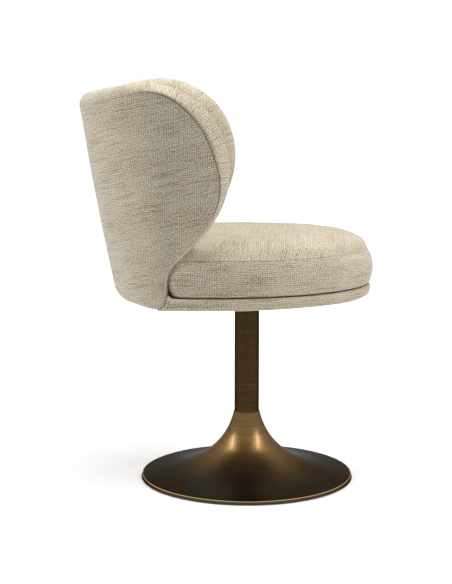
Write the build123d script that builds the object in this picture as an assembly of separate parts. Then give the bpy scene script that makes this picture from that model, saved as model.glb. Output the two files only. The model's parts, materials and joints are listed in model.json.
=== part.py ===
from build123d import *
from math import cos, radians, sin, sqrt
import os

# Upholstered swivel dining chair on a trumpet pedestal.
# Frame: origin on the floor on the swivel axis, +Z up, the sitter faces -Y, X is across the chair.

# ---- pedestal: driving dimensions, millimetres ----
BASE_R = 217.0  # top edge of the spun cover's rim
RIM_SPREAD = 2.4  # how much wider the rim's lower edge is
RIM_TOP_Z = 7.8
RIM_BOTTOM_Z = 1.0
RIM_WALL = 2.0
COLUMN_R = 25.4
COLUMN_WALL = 2.0
NECK_Z = 139.5  # lip of the cover around the column
NECK_GAP = 0.1
LIP_WALL = 1.0
COVER_WALL = 1.6
NECK_FLARE = 12.5  # degrees from vertical at the lip
NECK_PULL = 55.5
RIM_SLOPE = 5.0  # degrees from level at the rim
RIM_PULL = 137.5
PAD_T = 2.5
PAD_EDGE_GAP = 3.0
PLATE_T = 3.0
PLATE_EDGE_GAP = 0.3
WEIGHT_R = 150.0
WEIGHT_EDGE_T = 8.0
WEIGHT_MID_R = 80.0
WEIGHT_T = 18.0
BOSS_R = 34.0
BOSS_T = 30.0
FOOT_PLUG_T = 22.0
BASE_BOLT_R = 6.0
BASE_BOLT_HEAD_R = 10.0
BASE_BOLT_HEAD_T = 7.5
BASE_WASHER_R = 12.0
BASE_WASHER_T = 2.5
BOLT_HOLE_GAP = 0.4
WRENCH_HOLE_R = 16.0

# ---- swivel bearing in the column's top ----
SPINDLE_R = 10.0
RUNNING_GAP = 0.05
BUSH_WALL = 3.0
BUSH_LENGTH = 22.0
HOUSING_LENGTH = 75.0
HOUSING_FLANGE_T = 4.0
RELIEF_GAP = 1.5  # housing bore clears the spindle between the bushes
RACE_T = 4.0
RACE_R = 21.0
BALL_R = 3.0
BALL_CIRCLE_R = 16.5
BALL_COUNT = 12
BALL_GAP = 0.05
RACE_SPACE = 3.0  # open height between the two races
CAGE_T = 1.6
CAGE_BAND = 3.6
RETAINER_WASHER_R = 15.0
RETAINER_WASHER_T = 1.6
RETAINER_GAP = 0.4
CIRCLIP_T = 1.5
CIRCLIP_R = 13.0
GROOVE_DEPTH = 1.0
SPINDLE_TAIL = 5.0
DUST_RING_WALL = 2.2
DUST_RING_GAP = 0.4

# ---- seat ----
SEAT_BOTTOM_Z = 385.0  # lowest line of the upholstered rail
CREASE_Z = 411.0  # joint between the rail and the cushion
SEAM_Z = 481.0  # top seam of the cushion
CROWN = 36.5  # crown above the seam
SEAT_HALF_WIDTH = 237.0
SEAT_WIDEST_Y = 70.0
SEAT_NOSE = 325.0  # from the widest line forward to the nose
BOXING_BULGE = 1.5
SEAM_TUCK = 6.0  # the seam is drawn in by the cushion's filling
CROWN_FLAT = 0.97  # how far out, as a share of the seam, the level crown is held
CROWN_SHOULDER = 8.6  # run and fall of the crown's last stretch to the seam
SHOULDER_FALL = 31.5
CREASE_ROUND = 7.0
BOARD_T = 18.0
BOARD_DROP = 0.6  # board's top below the crease
RAIL_T = 16.0
RAIL_ROUND = 12.0
RAIL_TOP_ROUND = 5.0
RAIL_GAP = 0.3
RAIL_LAP = 8.0  # the rail runs this far round the wing's rounded foot
FLANGE_WIDTH = 34.0  # fabric turned in under the board
CLOTH_T = 1.5
CLOTH_GAP = 0.2
SEAT_PLATE_SIDE = 172.0
SEAT_PLATE_T = 6.0
SEAT_PLATE_CORNER = 14.0
PLATE_BOLT_SPACING = 130.0
PLATE_BOLT_R = 4.0
PLATE_BOLT_HEAD_R = 7.0
PLATE_BOLT_HEAD_T = 4.4
PLATE_SOCKET_R = 2.9
PLATE_WASHER_R = 8.5
PLATE_WASHER_T = 1.2
PLATE_BOLT_LENGTH = 20.0
TEE_NUT_R = 5.2
TEE_NUT_FLANGE_R = 11.0
TEE_NUT_FLANGE_T = 1.6
DUST_COVER_T = 1.0
DUST_COVER_GAP = 0.6

# ---- back ----
BACK_T = 55.0
SIDE_END_Y = 120.0  # the straight sides run into the rear curve here
LOW_OVERHANG = 1.0  # how far the back stands out sideways beyond the seat
MID_OVERHANG = 10.0
HIGH_OVERHANG = 19.0
BACK_LOW = (SEAT_BOTTOM_Z, SEAT_HALF_WIDTH + LOW_OVERHANG, 266.0)  # height, half width, rear
BACK_MID = (590.0, SEAT_HALF_WIDTH + MID_OVERHANG, 306.0)
BACK_HIGH = (830.0, SEAT_HALF_WIDTH + HIGH_OVERHANG, 346.5)
WING_FRONT_Y = 29.0
WING_FRONT_Z = 654.0
WING_UPPER_R = 163.0
WING_LOWER_R = 186.0
WING_SLANT = 45.0
WING_FOOT_Y = 149.5
WING_FOOT_R = 60.0
TOP_SLOPE = 12.4  # the top line falls towards the rear
EDGE_OUTER_R = 20.0
EDGE_INNER_R = 26.0
SEAM_INSET = 20.0  # outer seam behind the wing's edge
WADDING_T = 6.0
SHELL_T = 10.0
SHELL_INSET = 22.0
CUSHION_GAP = 1.2
EAR_ROUND = 22.0
SCREW_R = 2.5
SCREW_LENGTH = 38.0
SCREW_HEAD_R = 5.0
SCREW_SINK = 1.0
SCREW_ANGLES = (-62, -36, -12, 12, 36, 62)

# ---- worked out from the above ----
BOARD_TOP = CREASE_Z - BOARD_DROP
BOARD_BOTTOM = BOARD_TOP - BOARD_T
SEAT_PLATE_BOTTOM = BOARD_BOTTOM - SEAT_PLATE_T
RACE_TOP = SEAT_PLATE_BOTTOM - RACE_T
HOUSING_TOP = RACE_TOP - RACE_SPACE
COLUMN_TOP = HOUSING_TOP - HOUSING_FLANGE_T
BALL_Z = HOUSING_TOP + RACE_SPACE / 2
COLUMN_BORE = COLUMN_R - COLUMN_WALL
HOUSING_BOTTOM = COLUMN_TOP - HOUSING_LENGTH
PLATE_TOP = PAD_T + PLATE_T
COLUMN_BOTTOM = PLATE_TOP + BOSS_T

# ---- helpers for cutting and for picking edges ----
FAR = 600.0  # longer than anything it cuts
OVERCUT = 1.0  # cutters run this far past a face
HALF_TURN = 180
ON_BARREL = 0.02  # share of the barrel's radius within which a point counts as on it
ON_OUTLINE = 0.05
ON_PLANE = 0.01


def ring(outer, inner, bottom, top):
    """A plain tube or washer about the swivel axis."""
    body = Pos(0, 0, bottom) * extrude(Circle(outer), top - bottom)
    return body - Pos(0, 0, bottom) * extrude(Circle(inner), top - bottom)


def disc(radius, bottom, top):
    return Pos(0, 0, bottom) * extrude(Circle(radius), top - bottom)


def turned(points):
    """A solid of revolution about Z from (radius, height) corners."""
    outline = Polyline(*[(r, 0, z) for r, z in points], close=True)
    return revolve(make_face(outline), Axis.Z)


# ---- pedestal ----


def trumpet_curve(shift_r, shift_z):
    lip = Vector(COLUMN_R + NECK_GAP + LIP_WALL - shift_r, 0, NECK_Z - shift_z)
    rim = Vector(BASE_R - shift_r, 0, RIM_TOP_Z - shift_z)
    flare = radians(NECK_FLARE)
    slope = radians(RIM_SLOPE)
    lip_handle = lip + Vector(sin(flare), 0, -cos(flare)) * NECK_PULL
    rim_handle = rim + Vector(-cos(slope), 0, sin(slope)) * RIM_PULL
    return Bezier(lip, lip_handle, rim_handle, rim)


def trumpet_cover():
    outer = trumpet_curve(0, 0)
    inner = trumpet_curve(LIP_WALL, COVER_WALL)
    rim_out = Vector(BASE_R + RIM_SPREAD, 0, RIM_BOTTOM_Z)
    rim_in = Vector(BASE_R + RIM_SPREAD - RIM_WALL, 0, RIM_BOTTOM_Z)
    lip_in = Vector((inner @ 0).X, 0, NECK_Z)
    edges = [
        outer,
        Line(outer @ 1, rim_out),
        Line(rim_out, rim_in),
        Line(rim_in, inner @ 1),
        inner,
        Line(inner @ 0, lip_in),
        Line(lip_in, outer @ 0),
    ]
    return revolve(make_face(edges), Axis.Z)


def pedestal_parts():
    inside_r = BASE_R + RIM_SPREAD - RIM_WALL
    hole_r = BASE_BOLT_R + BOLT_HOLE_GAP
    washer_top = PAD_T + BASE_BOLT_HEAD_T + BASE_WASHER_T
    plate_r = BASE_R - LIP_WALL - PLATE_EDGE_GAP
    plate = ring(plate_r, WRENCH_HOLE_R, PAD_T, PLATE_TOP)
    weight = turned([
        (hole_r, washer_top),
        (WRENCH_HOLE_R, washer_top),
        (WRENCH_HOLE_R, PLATE_TOP),
        (WEIGHT_R, PLATE_TOP),
        (WEIGHT_R, PLATE_TOP + WEIGHT_EDGE_T),
        (WEIGHT_MID_R, PLATE_TOP + WEIGHT_T),
        (BOSS_R, COLUMN_BOTTOM),
        (hole_r, COLUMN_BOTTOM),
    ])
    column = ring(COLUMN_R, COLUMN_BORE, COLUMN_BOTTOM, COLUMN_TOP)
    plug_top = COLUMN_BOTTOM + FOOT_PLUG_T
    plug = ring(COLUMN_BORE - RUNNING_GAP, BASE_BOLT_R + RUNNING_GAP, COLUMN_BOTTOM, plug_top)
    head_bottom = washer_top - BASE_WASHER_T - BASE_BOLT_HEAD_T
    head = RegularPolygon(BASE_BOLT_HEAD_R, 6)
    bolt = Pos(0, 0, head_bottom) * extrude(head, BASE_BOLT_HEAD_T)
    bolt += disc(BASE_BOLT_R, head_bottom + BASE_BOLT_HEAD_T, plug_top)
    washer = ring(BASE_WASHER_R, hole_r, washer_top - BASE_WASHER_T, washer_top)
    return {
        "floor_pad": disc(inside_r - PAD_EDGE_GAP, 0, PAD_T),
        "base_plate": plate,
        "base_weight": weight,
        "trumpet_cover": trumpet_cover(),
        "column_tube": column,
        "column_foot_plug": plug,
        "base_bolt": bolt,
        "base_bolt_washer": washer,
    }


# ---- swivel ----


def ball_track():
    """The groove that both races carry, as a full torus."""
    return Pos(0, 0, BALL_Z) * Torus(BALL_CIRCLE_R, BALL_R + BALL_GAP)


def bearing_housing():
    bore = SPINDLE_R + RUNNING_GAP + BUSH_WALL + RUNNING_GAP
    body = disc(COLUMN_BORE - RUNNING_GAP, HOUSING_BOTTOM, COLUMN_TOP)
    body += disc(COLUMN_R, COLUMN_TOP, HOUSING_TOP)
    body -= disc(SPINDLE_R + RELIEF_GAP, HOUSING_BOTTOM, HOUSING_TOP)
    body -= disc(bore, HOUSING_BOTTOM, HOUSING_BOTTOM + BUSH_LENGTH)
    body -= disc(bore, HOUSING_TOP - RACE_T - BUSH_LENGTH, HOUSING_TOP)
    return body - disc(RACE_R + RUNNING_GAP, HOUSING_TOP - RACE_T, HOUSING_TOP)


def bushes():
    inner = SPINDLE_R + RUNNING_GAP
    outer = inner + BUSH_WALL
    upper_top = HOUSING_TOP - RACE_T
    upper = ring(outer, inner, upper_top - BUSH_LENGTH, upper_top)
    lower = ring(outer, inner, HOUSING_BOTTOM, HOUSING_BOTTOM + BUSH_LENGTH)
    return upper, lower


def bearing_balls():
    ball = Pos(BALL_CIRCLE_R, 0, BALL_Z) * Sphere(BALL_R)
    return [Rot(0, 0, 360 / BALL_COUNT * k) * ball for k in range(BALL_COUNT)]


def ball_cage():
    bottom = BALL_Z - CAGE_T / 2
    body = ring(BALL_CIRCLE_R + CAGE_BAND, BALL_CIRCLE_R - CAGE_BAND, bottom, bottom + CAGE_T)
    pocket = Pos(BALL_CIRCLE_R, 0, bottom) * extrude(Circle(BALL_R + BALL_GAP), CAGE_T)
    for k in range(BALL_COUNT):
        body -= Rot(0, 0, 360 / BALL_COUNT * k) * pocket
    return body


def races():
    hole = SPINDLE_R + RELIEF_GAP
    lower = ring(RACE_R, hole, HOUSING_TOP - RACE_T, HOUSING_TOP) - ball_track()
    upper = ring(RACE_R, SPINDLE_R + RUNNING_GAP, RACE_TOP, RACE_TOP + RACE_T) - ball_track()
    return lower, upper


def spindle_parts():
    washer_top = HOUSING_BOTTOM - RETAINER_GAP
    washer_bottom = washer_top - RETAINER_WASHER_T
    clip_bottom = washer_bottom - CIRCLIP_T
    tail = clip_bottom - SPINDLE_TAIL
    shaft = disc(SPINDLE_R, tail, SEAT_PLATE_BOTTOM)
    groove = ring(SPINDLE_R, SPINDLE_R - GROOVE_DEPTH, clip_bottom, washer_bottom)
    washer = ring(RETAINER_WASHER_R, SPINDLE_R + RUNNING_GAP, washer_bottom, washer_top)
    clip = ring(CIRCLIP_R, SPINDLE_R - GROOVE_DEPTH, clip_bottom, washer_bottom)
    mouth = Pos(0, CIRCLIP_R, 0) * Box(SPINDLE_R, CIRCLIP_R, 2 * FAR)
    return shaft - groove, washer, clip - mouth


def dust_ring():
    outer = COLUMN_R
    inner = outer - DUST_RING_WALL
    return ring(outer, inner, HOUSING_TOP + DUST_RING_GAP, SEAT_PLATE_BOTTOM)


# ---- seat ----


def swept_section(face, inset, end_y):
    """Carries a half section, drawn in radius and height, round the nose and along the sides."""
    width = SEAT_HALF_WIDTH - inset
    nose = revolve(face, -Axis.Z, HALF_TURN)
    nose = scale(nose, by=(1, (SEAT_NOSE - inset) / width, 1))
    side = extrude(face, end_y - SEAT_WIDEST_Y, dir=(0, 1, 0))
    whole = nose + side + mirror(side, Plane.YZ)
    return Pos(0, SEAT_WIDEST_Y, 0) * whole


def cushion_section(inset):
    bottom = CREASE_Z + inset
    top = SEAM_Z + CROWN - inset
    edge = SEAT_HALF_WIDTH - inset
    seam = Vector(edge - SEAM_TUCK, 0, SEAM_Z)
    low = Vector(edge, 0, bottom + CREASE_ROUND)
    under = Vector(edge - CREASE_ROUND, 0, bottom)
    shoulder = seam + Vector(-CROWN_SHOULDER, 0, SHOULDER_FALL)
    crown = Bezier((0, 0, top), (seam.X * CROWN_FLAT, 0, top), shoulder, seam)
    middle = Vector(edge + BOXING_BULGE, 0, (low.Z + SEAM_Z) / 2)
    boxing = ThreePointArc(seam, middle, low)
    turn = Bezier(low, (edge, 0, bottom), under)
    edges = [
        crown,
        boxing,
        turn,
        Line(under, (0, 0, bottom)),
        Line((0, 0, bottom), (0, 0, top)),
    ]
    return make_face(edges)


def cushion_plan(inset):
    """Keeps the ears in front of the wings and lets the tongue run back between them."""
    width = SEAT_HALF_WIDTH + BOXING_BULGE - inset
    end_y = WING_FOOT_Y - CUSHION_GAP - inset
    length = end_y + FAR
    ears = Pos(0, end_y - length / 2) * RectangleRounded(2 * width, length, EAR_ROUND - inset)
    return Pos(0, 0, CREASE_Z - OVERCUT) * extrude(ears, 2 * CROWN + SEAM_Z - CREASE_Z)


def cushion_body(inset):
    rear_y = BACK_MID[2] - BACK_T
    raw = swept_section(cushion_section(inset), inset, rear_y)
    tongue = barrel(BACK_T / 2, CREASE_Z - OVERCUT)
    return (raw & (cushion_plan(inset) + tongue)) - back_body(-CUSHION_GAP - inset)


def slab(bottom, top):
    return Pos(0, 0, (bottom + top) / 2) * Box(2 * FAR, 2 * FAR, top - bottom)


def cushion_parts():
    skin = cushion_body(0) - cushion_body(CLOTH_T)
    base = CREASE_Z + CLOTH_T
    return {
        "cushion_foam": cushion_body(CLOTH_T + CLOTH_GAP),
        "cushion_top_panel": skin & slab(SEAM_Z, SEAM_Z + 2 * CROWN),
        "cushion_boxing": skin & slab(base, SEAM_Z),
        "cushion_lining": skin & slab(base - 2 * CLOTH_T, base),
    }


# ---- back ----


def wing_outline(inset):
    """Side view of the back, in Y and Z, set in by the amount given."""
    front = Vector(WING_FRONT_Y + inset, WING_FRONT_Z)
    upper_r = WING_UPPER_R - inset
    lower_r = WING_LOWER_R - inset
    foot_r = WING_FOOT_R + inset
    slant = radians(WING_SLANT)
    slope = radians(TOP_SLOPE)
    upper = front + Vector(upper_r, 0)
    lower = front + Vector(lower_r, 0)
    top = upper + Vector(sin(slope), cos(slope)) * upper_r
    half = radians(90 - TOP_SLOPE) / 2
    upper_mid = upper + Vector(-cos(half), sin(half)) * upper_r
    turn = lower - Vector(cos(slant), sin(slant)) * lower_r
    lower_mid = lower - Vector(cos(slant / 2), sin(slant / 2)) * lower_r
    foot_y = WING_FOOT_Y - WING_FOOT_R
    along = turn.X * cos(slant) + turn.Y * sin(slant)
    foot = Vector(foot_y, (along - foot_r - foot_y * cos(slant)) / sin(slant))
    foot_top = foot + Vector(cos(slant), sin(slant)) * foot_r
    foot_mid = foot + Vector(cos(slant / 2), sin(slant / 2)) * foot_r
    foot_end = foot + Vector(foot_r, 0)
    far = top + Vector(cos(slope), -sin(slope)) * FAR
    low_z = SEAT_BOTTOM_Z - FAR / 4
    edges = [
        Line(far, top),
        ThreePointArc(top, upper_mid, front),
        ThreePointArc(front, lower_mid, turn),
        Line(turn, foot_top),
        ThreePointArc(foot_top, foot_mid, foot_end),
        Line(foot_end, (foot_end.X, low_z)),
        Line((foot_end.X, low_z), (far.X, low_z)),
        Line((far.X, low_z), far),
    ]
    return Plane.YZ * make_face(edges)


def wing_prism(inset):
    return extrude(wing_outline(inset), FAR, both=True)


def station_at(height):
    """The back's half width and rear at any height, on a parabola through three stations."""
    (z0, w0, r0), (z1, w1, r1), (z2, w2, r2) = BACK_LOW, BACK_MID, BACK_HIGH
    a = (height - z1) * (height - z2) / ((z0 - z1) * (z0 - z2))
    b = (height - z0) * (height - z2) / ((z1 - z0) * (z1 - z2))
    c = (height - z0) * (height - z1) / ((z2 - z0) * (z2 - z1))
    return a * w0 + b * w1 + c * w2, a * r0 + b * r1 + c * r2


def barrel_profile(height, depth):
    half_width, rear = station_at(height)
    width = half_width - depth
    front = -FAR / 4
    edges = [
        EllipticalCenterArc((0, SIDE_END_Y), width, rear - SIDE_END_Y - depth, arc_size=HALF_TURN),
        Line((-width, SIDE_END_Y), (-width, front)),
        Line((-width, front), (width, front)),
        Line((width, front), (width, SIDE_END_Y)),
    ]
    return Pos(0, 0, height) * make_face(edges)


def barrel(depth, bottom):
    """The solid inside the back's outer face, set in by a depth, from a height upwards."""
    middle = BACK_MID[0]
    top = BACK_HIGH[0] + BACK_T / 2
    return loft([barrel_profile(z, depth) for z in (bottom, middle, top)])


def lies_on_barrel(point, depth):
    half_width, rear = station_at(point.Z)
    width = half_width - depth
    reach = rear - SIDE_END_Y - depth
    aside = abs(point.X) / width
    behind = max(point.Y - SIDE_END_Y, 0) / reach
    return abs(sqrt(aside**2 + behind**2) - 1) < ON_BARREL


def outline_edges(body, inset, depth):
    """The edges where the wing outline cuts the barrel of the given depth."""
    outline = wing_outline(inset).face().outer_wire()
    found = []
    for edge in body.edges():
        middle = edge @ 0.5
        near = outline.distance_to(Vertex(0, middle.Y, middle.Z)) < ON_OUTLINE
        if near and lies_on_barrel(middle, depth):
            found.append(edge)
    return found


def back_body(inset):
    """The whole upholstered back as one closed form with rounded edges, set in by an amount."""
    bottom = SEAT_BOTTOM_Z + inset
    inner_depth = BACK_T - inset
    body = barrel(inset, bottom) - barrel(inner_depth, SEAT_BOTTOM_Z - BACK_T)
    body = body & wing_prism(inset)
    body = fillet(outline_edges(body, inset, inset), EDGE_OUTER_R - inset)
    body = fillet(outline_edges(body, inset, inner_depth), EDGE_INNER_R - inset)
    low = body.edges().filter_by_position(Axis.Z, bottom - ON_PLANE, bottom + ON_PLANE)
    outer = [e for e in low if lies_on_barrel(e @ 0.5, inset)]
    return fillet(outer, RAIL_ROUND - inset)


def board_space(grow):
    """The room that the seat board takes inside the back."""
    within = barrel(shell_depth() + SHELL_T + CLOTH_GAP - grow, BOARD_BOTTOM - 2 * BACK_T)
    return within & slab(BOARD_BOTTOM - grow, BOARD_TOP + grow)


def shell_depth():
    return CLOTH_T + 2 * CLOTH_GAP + WADDING_T


def back_parts():
    skin = back_body(0) - back_body(CLOTH_T) - board_space(CLOTH_GAP)
    panel_space = wing_prism(SEAM_INSET) - barrel(BACK_T / 2, SEAT_BOTTOM_Z - BACK_T)
    low = SEAT_BOTTOM_Z - BACK_T
    first = shell_depth()
    last = first + SHELL_T
    hollow = wing_prism(SHELL_INSET - CLOTH_GAP) - barrel(last + CLOTH_GAP, low)
    filling = back_body(CLOTH_T + CLOTH_GAP)
    foam = filling - hollow - board_space(CLOTH_GAP)
    wadding = (filling & wing_prism(SHELL_INSET)) - barrel(first - CLOTH_GAP, low)
    shell = (barrel(first, BOARD_BOTTOM) - barrel(last, low)) & wing_prism(SHELL_INSET)
    return {
        "back_shell": shell,
        "back_wadding": wadding,
        "back_foam": foam,
        "back_inner_cover": skin - panel_space,
        "back_outer_panel": skin & panel_space,
    }


# ---- seat rail, board and fastenings ----


def rounded_rail(inset, inner, bottom, top):
    """The rail's outer half section down from the crease, set in by an amount."""
    edge = SEAT_HALF_WIDTH - inset
    low_r = RAIL_ROUND - inset
    high_r = RAIL_TOP_ROUND - inset
    low_turn = Bezier((edge, 0, bottom + low_r), (edge, 0, bottom), (edge - low_r, 0, bottom))
    high_turn = Bezier((edge - high_r, 0, top), (edge, 0, top), (edge, 0, top - high_r))
    edges = [
        low_turn,
        Line(low_turn @ 1, (inner, 0, bottom)),
        Line((inner, 0, bottom), (inner, 0, top)),
        Line((inner, 0, top), high_turn @ 0),
        high_turn,
        Line(high_turn @ 1, low_turn @ 0),
    ]
    return make_face(edges)


def rectangle_section(low_r, high_r, bottom, top):
    corners = [(low_r, 0, bottom), (high_r, 0, bottom), (high_r, 0, top), (low_r, 0, top)]
    return make_face(Polyline(*corners, close=True))


def rail_parts():
    top = CREASE_Z - RAIL_GAP
    board_edge = SEAT_HALF_WIDTH - RAIL_T + CLOTH_GAP + RAIL_GAP
    flange_end = board_edge - FLANGE_WIDTH
    under_board = rectangle_section(0, board_edge, BOARD_BOTTOM - CLOTH_GAP, top + OVERCUT)
    foam_in = CLOTH_T + CLOTH_GAP
    outer = rounded_rail(0, flange_end, SEAT_BOTTOM_Z, top)
    inner = rounded_rail(CLOTH_T, 0, SEAT_BOTTOM_Z + CLOTH_T, top - CLOTH_T)
    foam_inner = flange_end + CLOTH_T
    core = rounded_rail(foam_in, foam_inner, SEAT_BOTTOM_Z + foam_in, top - foam_in)
    cover = outer - inner - under_board
    foam = core - under_board
    end_y = WING_FOOT_Y + RAIL_LAP
    beside = back_body(-RAIL_GAP)
    return {
        "rail_foam": swept_section(foam, 0, end_y) - beside,
        "rail_cover": swept_section(cover, 0, end_y) - beside,
    }


def front_plan(inset):
    """Plan of the seat in front of the wings: half an ellipse and two straight sides."""
    width = SEAT_HALF_WIDTH - inset
    reach = SEAT_NOSE * width / SEAT_HALF_WIDTH
    centre = (0, SEAT_WIDEST_Y)
    nose = EllipticalCenterArc(centre, width, reach, start_angle=HALF_TURN, arc_size=HALF_TURN)
    end_y = WING_FOOT_Y
    edges = [
        nose,
        Line((width, SEAT_WIDEST_Y), (width, end_y)),
        Line((width, end_y), (-width, end_y)),
        Line((-width, end_y), (-width, SEAT_WIDEST_Y)),
    ]
    return make_face(edges)


def seat_sheet(front_inset, rear_depth, bottom, top):
    """A flat piece with the whole seat's outline, front rail and back together."""
    front = Pos(0, 0, bottom) * extrude(front_plan(front_inset), top - bottom)
    rear = barrel(rear_depth, bottom - BACK_T) & slab(bottom, top)
    ahead = Pos(0, SIDE_END_Y - FAR, 0) * Box(2 * FAR, 2 * FAR, 4 * FAR)
    return front + (rear - ahead)


def plate_corners():
    half = PLATE_BOLT_SPACING / 2
    return [(x, y) for x in (-half, half) for y in (-half, half)]


def at_corners(shape):
    return [Pos(x, y, 0) * shape for x, y in plate_corners()]


def drilled(body, radius):
    for hole in at_corners(Pos(0, 0, BOARD_BOTTOM) * Cylinder(radius, FAR / 2)):
        body -= hole
    return body


def seat_board():
    board = seat_sheet(RAIL_T + CLOTH_GAP, shell_depth() + SHELL_T + CLOTH_GAP, BOARD_BOTTOM, BOARD_TOP)
    board = drilled(board, TEE_NUT_R + CLOTH_GAP)
    recess_r = TEE_NUT_FLANGE_R + CLOTH_GAP
    recess = disc(recess_r, BOARD_TOP - TEE_NUT_FLANGE_T - CLOTH_GAP, BOARD_TOP)
    for cut in at_corners(recess):
        board -= cut
    return board


def seat_plate():
    side = SEAT_PLATE_SIDE
    outline = RectangleRounded(side, side, SEAT_PLATE_CORNER)
    plate = Pos(0, 0, SEAT_PLATE_BOTTOM) * extrude(outline, SEAT_PLATE_T)
    return drilled(plate, PLATE_BOLT_R + BOLT_HOLE_GAP)


def plate_fasteners():
    head_top = SEAT_PLATE_BOTTOM - PLATE_WASHER_T
    bolt = disc(PLATE_BOLT_R, head_top, head_top + PLATE_BOLT_LENGTH)
    bolt += disc(PLATE_BOLT_HEAD_R, head_top - PLATE_BOLT_HEAD_T, head_top)
    socket = RegularPolygon(PLATE_SOCKET_R, 6)
    bolt -= Pos(0, 0, head_top - PLATE_BOLT_HEAD_T) * extrude(socket, PLATE_BOLT_HEAD_T / 2)
    washer = ring(PLATE_WASHER_R, PLATE_BOLT_R + BOLT_HOLE_GAP, head_top, SEAT_PLATE_BOTTOM)
    flange_bottom = BOARD_TOP - TEE_NUT_FLANGE_T
    nut = ring(TEE_NUT_R, PLATE_BOLT_R + RUNNING_GAP, BOARD_BOTTOM, flange_bottom)
    nut += ring(TEE_NUT_FLANGE_R, PLATE_BOLT_R + RUNNING_GAP, flange_bottom, BOARD_TOP)
    return {
        "plate_bolts": Compound(children=at_corners(bolt)),
        "plate_washers": Compound(children=at_corners(washer)),
        "tee_nuts": Compound(children=at_corners(nut)),
    }


def dust_cover():
    top = BOARD_BOTTOM - CLOTH_GAP
    inset = RAIL_T + FLANGE_WIDTH + DUST_COVER_GAP
    cover = seat_sheet(inset, BACK_T + DUST_COVER_GAP, top - DUST_COVER_T, top)
    side = SEAT_PLATE_SIDE + 2 * DUST_COVER_GAP
    hole = RectangleRounded(side, side, SEAT_PLATE_CORNER)
    return cover - Pos(0, 0, SEAT_PLATE_BOTTOM) * extrude(hole, SEAT_PLATE_T)


def back_screws():
    """Wood screws through the shell into the board's edge, heads on the shell's outer face."""
    height = (BOARD_TOP + BOARD_BOTTOM) / 2
    half_width, rear = station_at(height)
    depth = shell_depth() + SCREW_SINK
    width = half_width - depth
    reach = rear - SIDE_END_Y - depth
    screws = []
    for angle in SCREW_ANGLES:
        turn = radians(angle)
        place = Vector(width * sin(turn), SIDE_END_Y + reach * cos(turn), height)
        inward = Vector(-reach * sin(turn), -width * cos(turn), 0).normalized()
        head = extrude(Circle(SCREW_HEAD_R), SCREW_R)
        screw = head + extrude(Circle(SCREW_R), SCREW_LENGTH)
        screws.append(Plane(origin=place, z_dir=inward) * screw)
    return screws


def swivel_parts():
    upper_bush, lower_bush = bushes()
    lower_race, upper_race = races()
    spindle, washer, circlip = spindle_parts()
    return {
        "bearing_housing": bearing_housing(),
        "upper_bush": upper_bush,
        "lower_bush": lower_bush,
        "lower_race": lower_race,
        "upper_race": upper_race,
        "ball_cage": ball_cage(),
        "bearing_balls": Compound(children=bearing_balls()),
        "spindle": spindle,
        "spindle_washer": washer,
        "spindle_circlip": circlip,
        "dust_ring": dust_ring(),
    }


def structure_parts(shell):
    """The board and shell with the screws that join them, and what hangs the seat on its plate."""
    board = seat_board()
    screws = back_screws()
    for screw in screws:
        shell -= screw
        board -= screw
    return {
        "back_shell": shell,
        "seat_board": board,
        "back_screws": Compound(children=screws),
        "seat_plate": seat_plate(),
        "dust_cover": dust_cover(),
    }


def assembly():
    parts = pedestal_parts()
    parts.update(swivel_parts())
    parts.update(cushion_parts())
    parts.update(back_parts())
    parts.update(rail_parts())
    parts.update(plate_fasteners())
    parts.update(structure_parts(parts["back_shell"]))
    return parts


if __name__ == "__main__":
    os.makedirs("parts", exist_ok=True)
    for name, shape in assembly().items():
        export_step(shape, f"parts/{name}.step")
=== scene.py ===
import json
import math

import bmesh
import bpy
import numpy as np
from mathutils import Matrix, Vector


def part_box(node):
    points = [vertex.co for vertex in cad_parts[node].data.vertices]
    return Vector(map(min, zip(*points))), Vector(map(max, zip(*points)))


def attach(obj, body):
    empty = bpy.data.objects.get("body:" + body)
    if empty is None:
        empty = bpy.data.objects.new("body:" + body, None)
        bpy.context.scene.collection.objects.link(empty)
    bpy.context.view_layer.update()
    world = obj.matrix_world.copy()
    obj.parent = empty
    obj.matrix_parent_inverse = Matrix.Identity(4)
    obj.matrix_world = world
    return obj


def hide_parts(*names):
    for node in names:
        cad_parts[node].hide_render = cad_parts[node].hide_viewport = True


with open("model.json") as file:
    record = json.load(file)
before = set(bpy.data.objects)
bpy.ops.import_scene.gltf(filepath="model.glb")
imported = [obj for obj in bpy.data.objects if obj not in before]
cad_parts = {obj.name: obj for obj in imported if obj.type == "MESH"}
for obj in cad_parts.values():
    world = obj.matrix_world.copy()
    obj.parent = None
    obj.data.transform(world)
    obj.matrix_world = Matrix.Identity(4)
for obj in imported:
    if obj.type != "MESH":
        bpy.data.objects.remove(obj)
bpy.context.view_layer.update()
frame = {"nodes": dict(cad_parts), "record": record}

# The sitter faces -Y and Z is up. Shapes are worked out in millimetres. Meshes, finishes and the studio
# are in metres, apart from what is counted along a thread.
MM = 0.001
WELD = 2e-5  # metres: points of neighbouring strips that lie this close become one
LOW, HIGH = 0, 1
X, Y, Z = 0, 1, 2


def node_box(node):
    """The lowest and the highest corner of a CAD node, in millimetres to a tenth."""
    return np.round(np.array(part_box(node)) / MM, 1)


# ---- seat ----
SEAT_BOTTOM_Z = node_box("rail_cover")[LOW, Z]
SEAT_HALF_WIDTH = node_box("rail_cover")[HIGH, X]
BOARD_BOTTOM_Z = node_box("seat_board")[LOW, Z]
CREASE_Z = node_box("cushion_lining")[LOW, Z]  # where the cushion's foot lies over the rail
SEAM_Z = node_box("cushion_boxing")[HIGH, Z]
CROWN = node_box("cushion_top_panel")[HIGH, Z] - SEAM_Z
SEAT_WIDEST_Y = 70.0
SEAT_NOSE = 325.0  # from the widest line forward
RAIL_TOP_Z = CREASE_Z - 2.1

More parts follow.
